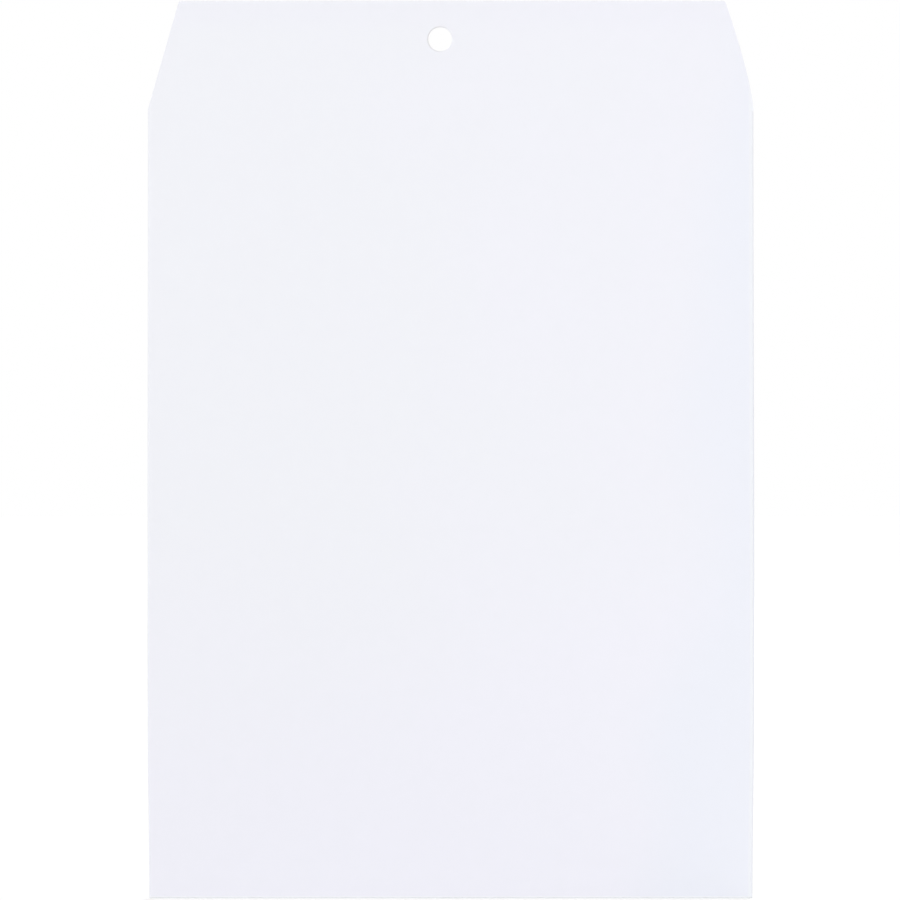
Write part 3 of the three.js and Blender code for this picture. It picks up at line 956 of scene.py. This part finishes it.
def clasp_strip():
    """The strip's middle surface: a path in x and y carried across its width.

    The width narrows by a smooth step at the necks, and the upper layer is crowned by a parabola.
    """
    end = (clasp_high.x - clasp_low.x) / 2 - METAL / 2
    neck = NECK_SPACING / 2
    path = refined(rounded_path([
        (-neck, neck_top),
        (-neck, upper_y),
        (-end, upper_y),
        (-end, lower_y),
        (end, lower_y),
        (end, upper_y),
        (neck, upper_y),
        (neck, neck_top),
    ], BEND_RADIUS), STRIP_STEP)
    along, out = path[:, :1], path[:, 1:]
    share = np.linspace(-1, 1, STRIP_COLUMNS)
    narrowed = smooth(out, upper_y + METAL / 2, upper_y + METAL)
    half = NECK_HALF + (strip_half - NECK_HALF) * (1 - narrowed)
    crown = STRIP_CROWN * (1 - share**2) * smooth(abs(along), 0, CROWN_FROM)
    crown = crown * (out > (lower_y + upper_y) / 2)
    u = run_length(path[:, 0], path[:, 1])[:, None]
    return patch(clasp_x + along, out + crown, clasp_z + half * share, u, half * share, abs(share))


def tooth(side_x, side_z):
    """A tooth: from the strip's edge down through the slit, and back flat under the ply.

    It is a path in y and z carried across its width, which falls evenly to a narrow tip.
    """
    inner = left_y - ply / 2 - METAL / 2
    edge_z = strip_half - METAL / 2
    path = refined(rounded_path([
        (lower_y, edge_z - 2 * METAL),
        (lower_y, edge_z),
        (inner, edge_z),
        (inner, edge_z - TOOTH_LENGTH),
    ], BEND_RADIUS), TOOTH_STEP)
    from_tip = np.clip(path[:, 1:] - (edge_z - TOOTH_LENGTH), 0, TOOTH_LENGTH)
    to_tip = np.clip(from_tip / (TOOTH_LENGTH * TOOTH_TAPER), TOOTH_TIP, 1)
    folded_under = path[:, :1] < (lower_y + inner) / 2
    taper = np.where(folded_under, to_tip, 1)
    share = np.linspace(-1, 1, TOOTH_COLUMNS) * side_z
    x = clasp_x + side_x * TOOTH_OUT + TOOTH_HALF * taper * share
    z = clasp_z + side_z * path[:, 1:]
    u = run_length(path[:, 0], path[:, 1])[:, None]
    return patch(x, path[:, :1], z, u, TOOTH_HALF * share, abs(share))


def tinned_steel():
    """Tinned strip: noise drawn out along it is its rolling, and drawn out aslant its scratches.

    Round noise dulls it in patches, and a smooth step brightens its edges: wear there, and a
    painted highlight.
    """
    material, start, shader = material_nodes("tinned_steel")
    place, _, _, out = blank_place(start)
    rolled = noise(stretched(place, ROLLED_ALONG), ROLLED_SIZE, detail=3, roughness=0.6)
    dulled = ramp(noise(place, DULLED_SIZE, detail=4, roughness=0.6), *DULLED)
    inputs = {"Vector": place, "Angle": SCRATCH_ANGLE}
    aslant = place.node("ShaderNodeVectorRotate", {"rotation_type": "Z_AXIS"}, inputs)
    scratched = ramp(noise(stretched(aslant, SCRATCH_ALONG), SCRATCH_SIZE), *SCRATCHED)
    # Wear and a painted highlight: the strip's edges are lighter
    edge_wear_and_sheen = ramp(out, *EDGE_WEAR_AND_SHEEN)
    body = blend_colour(dulled * 0.6 + rolled * 0.3, TIN, TIN_WORN)
    set_inputs(shader, {
        "Base Color": blend_colour(edge_wear_and_sheen * 0.7 + scratched * 0.5, body, TIN_BRIGHT),
        "Roughness": 0.24 + dulled * 0.16 + rolled * 0.1,
        "Metallic": 1,
        "Normal": bump(rolled * 0.5 - scratched * 0.5, 0.25, TIN_RELIEF),
    })
    return material


tin = tinned_steel()
teeth = [tooth(side_x, side_z) for side_x in (-1, 1) for side_z in (-1, 1)]
base = weld("clasp_strip", [clasp_strip(), *teeth])
base.data.materials.append(tin)
thicken(base, METAL, sharp=METAL_SHARP)
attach(base, "pocket")
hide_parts("clasp_base")


# The prongs
# The strip's two ends, flared a little past the neck and rounded, each with a long rib pressed
# into it. Raised, they go through the flap's hole; spread flat, they hold it.
PRONG_HALF = 0.0023
PRONG_FLARE = 0.0015
TIP_ANGLE = math.radians(84)
TIP_STEPS = 11
RIB_HEIGHT = 0.00025
RIB_TOP = 0.0002
RIB_FOOT = 0.00065
RIB_FROM_ROOT = 0.0027
RIB_FROM_TIP = 0.0027
PRONG_COLUMNS = 25
NECK_STEPS = 8
NECK_SHARE = 0.98
NECK_OVERLAP = METAL / 4


def prong_surface(side, low, high, axis):
    """A prong's middle surface: along +Y from its root, with a half circle for its tip.

    Its width flares by a smooth step, and the rib falls off by a smooth step beside its line.
    """
    length = high.y - low.y
    tip = length - PRONG_HALF
    round_end = tip + PRONG_HALF * np.sin(np.linspace(0, TIP_ANGLE, TIP_STEPS + 1))[1:]
    t = np.concatenate([spread(0, (6, PRONG_FLARE), (34, tip)), round_end])[:, None]
    round_tip = np.sqrt(np.clip(1 - (np.clip(t - tip, 0, None) / PRONG_HALF) ** 2, 0, 1))
    half = (NECK_HALF + (PRONG_HALF - NECK_HALF) * smooth(t, 0, PRONG_FLARE)) * round_tip
    share = np.linspace(-1, 1, PRONG_COLUMNS)
    c = half * share
    past = np.clip(np.maximum(RIB_FROM_ROOT - t, t - length + RIB_FROM_TIP), 0, None)
    rib = RIB_HEIGHT * (1 - smooth(np.hypot(past, c), RIB_TOP, RIB_FOOT))
    x = axis[0] - side * rib
    way = slice(None, None, -side)
    u, w = np.broadcast_arrays(t, abs(share))
    return patch(x[:, way], low.y + t, clasp_z + c[:, way], u[:, way], c[:, way], w[:, way])


def neck_surface(side, root, axis):
    """The short stretch of strip at the neck: a flat band from the neck's top to the root."""
    t = np.linspace(neck_top - NECK_OVERLAP, root, NECK_STEPS + 1)[:, None]
    share = np.linspace(-1, 1, NECK_STEPS + 1)[:: -side]
    across = NECK_HALF * share
    return patch(axis[0], t, clasp_z + across, t - neck_top, across, abs(share))


for side, hand in ((-1, "left"), (1, "right")):
    axis = joints[f"{hand}_prong_bend"]
    low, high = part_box(f"{hand}_prong")
    blade = weld(f"{hand}_prong_blade", [prong_surface(side, low, high, axis)])
    blade.data.materials.append(tin)
    thicken(blade, METAL, sharp=METAL_SHARP)
    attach(blade, f"{hand}_prong_body")
    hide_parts(f"{hand}_prong")
    neck = weld(f"{hand}_neck_bend", [neck_surface(side, low.y, axis)])
    neck.data.materials.append(tin)
    thicken(neck, METAL * NECK_SHARE, sharp=METAL_SHARP)
    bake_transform(neck)


# The floor and the light
# A plain white floor in a pale room. Two large low lamps stand in front, right and far left, and a
# smaller one hangs behind, which throws the soft shadow. For the camera the floor glows a little.
ROOM_LIGHT = 0.633
WHITE = (1, 1, 1, 1)
FLOOR = (0.8, 0.8, 0.8, 1)
FLOOR_HALF = 6.0
FLOOR_ROUGHNESS = 0.9
FLOOR_GLOW = 0.3
FAR_GLOW = 0.18
GLOW_RISES = (1.2, 2.6)

corners = [(x * FLOOR_HALF, y * FLOOR_HALF, 0) for x, y in ((-1, -1), (1, -1), (1, 1), (-1, 1))]
floor_mesh = bpy.data.meshes.new("floor")
floor_mesh.from_pydata(corners, [], [(0, 1, 2, 3)])
floor = bpy.data.objects.new("floor", floor_mesh)
bpy.context.scene.collection.objects.link(floor)
floor_material, start, shader = material_nodes("floor")
seen = start.node("ShaderNodeLightPath", out="Is Camera Ray")
floor_place = start.node("ShaderNodeTexCoord", out="Object")
away = floor_place.node(
    "ShaderNodeVectorMath", {"operation": "LENGTH"}, {0: floor_place}, out="Value"
)
set_inputs(shader, {
    "Base Color": FLOOR,
    "Roughness": FLOOR_ROUGHNESS,
    "Emission Color": WHITE,
    "Emission Strength": seen * (FLOOR_GLOW + ramp(away, *GLOW_RISES) * FAR_GLOW),
})
floor_mesh.materials.append(floor_material)
floor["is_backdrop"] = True

world = bpy.data.worlds.new("room")
bpy.context.scene.world = world
world.use_nodes = True
rays = Socket(world.node_tree).node("ShaderNodeLightPath").output.node
shown = Socket(world.node_tree, rays.outputs["Is Camera Ray"])
for ray in ("Is Glossy Ray", "Is Transmission Ray"):
    inputs = {0: shown, 1: Socket(world.node_tree, rays.outputs[ray])}
    shown = shown.node("ShaderNodeMath", {"operation": "MAXIMUM"}, inputs)
set_inputs(world.node_tree.nodes["Background"], {
    "Color": WHITE,
    "Strength": ROOM_LIGHT + shown * (1 - ROOM_LIGHT),
})


def lamp(name, place, aim, width, height, power):
    """A rectangular area lamp at place, turned towards aim."""
    data = bpy.data.lights.new(name, "AREA")
    data.shape = "RECTANGLE"
    data.size = width
    data.size_y = height
    data.energy = power
    light = bpy.data.objects.new(name, data)
    bpy.context.scene.collection.objects.link(light)
    light.location = place
    light.rotation_euler = (Vector(aim) - Vector(place)).to_track_quat("-Z", "Y").to_euler()
    light.visible_camera = False


lamp("key", (1.0, -1.9, 0.43), aim=(0, 0, 0.15), width=1.0, height=0.84, power=11.2)
lamp("fill", (-1.9, -1.1, 0.48), aim=(0, 0, 0.12), width=1.2, height=0.94, power=11.2)
lamp("back", (0.9, 1.4, 1.3), aim=(0, 0, 0.2), width=0.6, height=0.6, power=12)

bpy.context.scene.view_settings.view_transform = "Standard"

low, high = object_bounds()
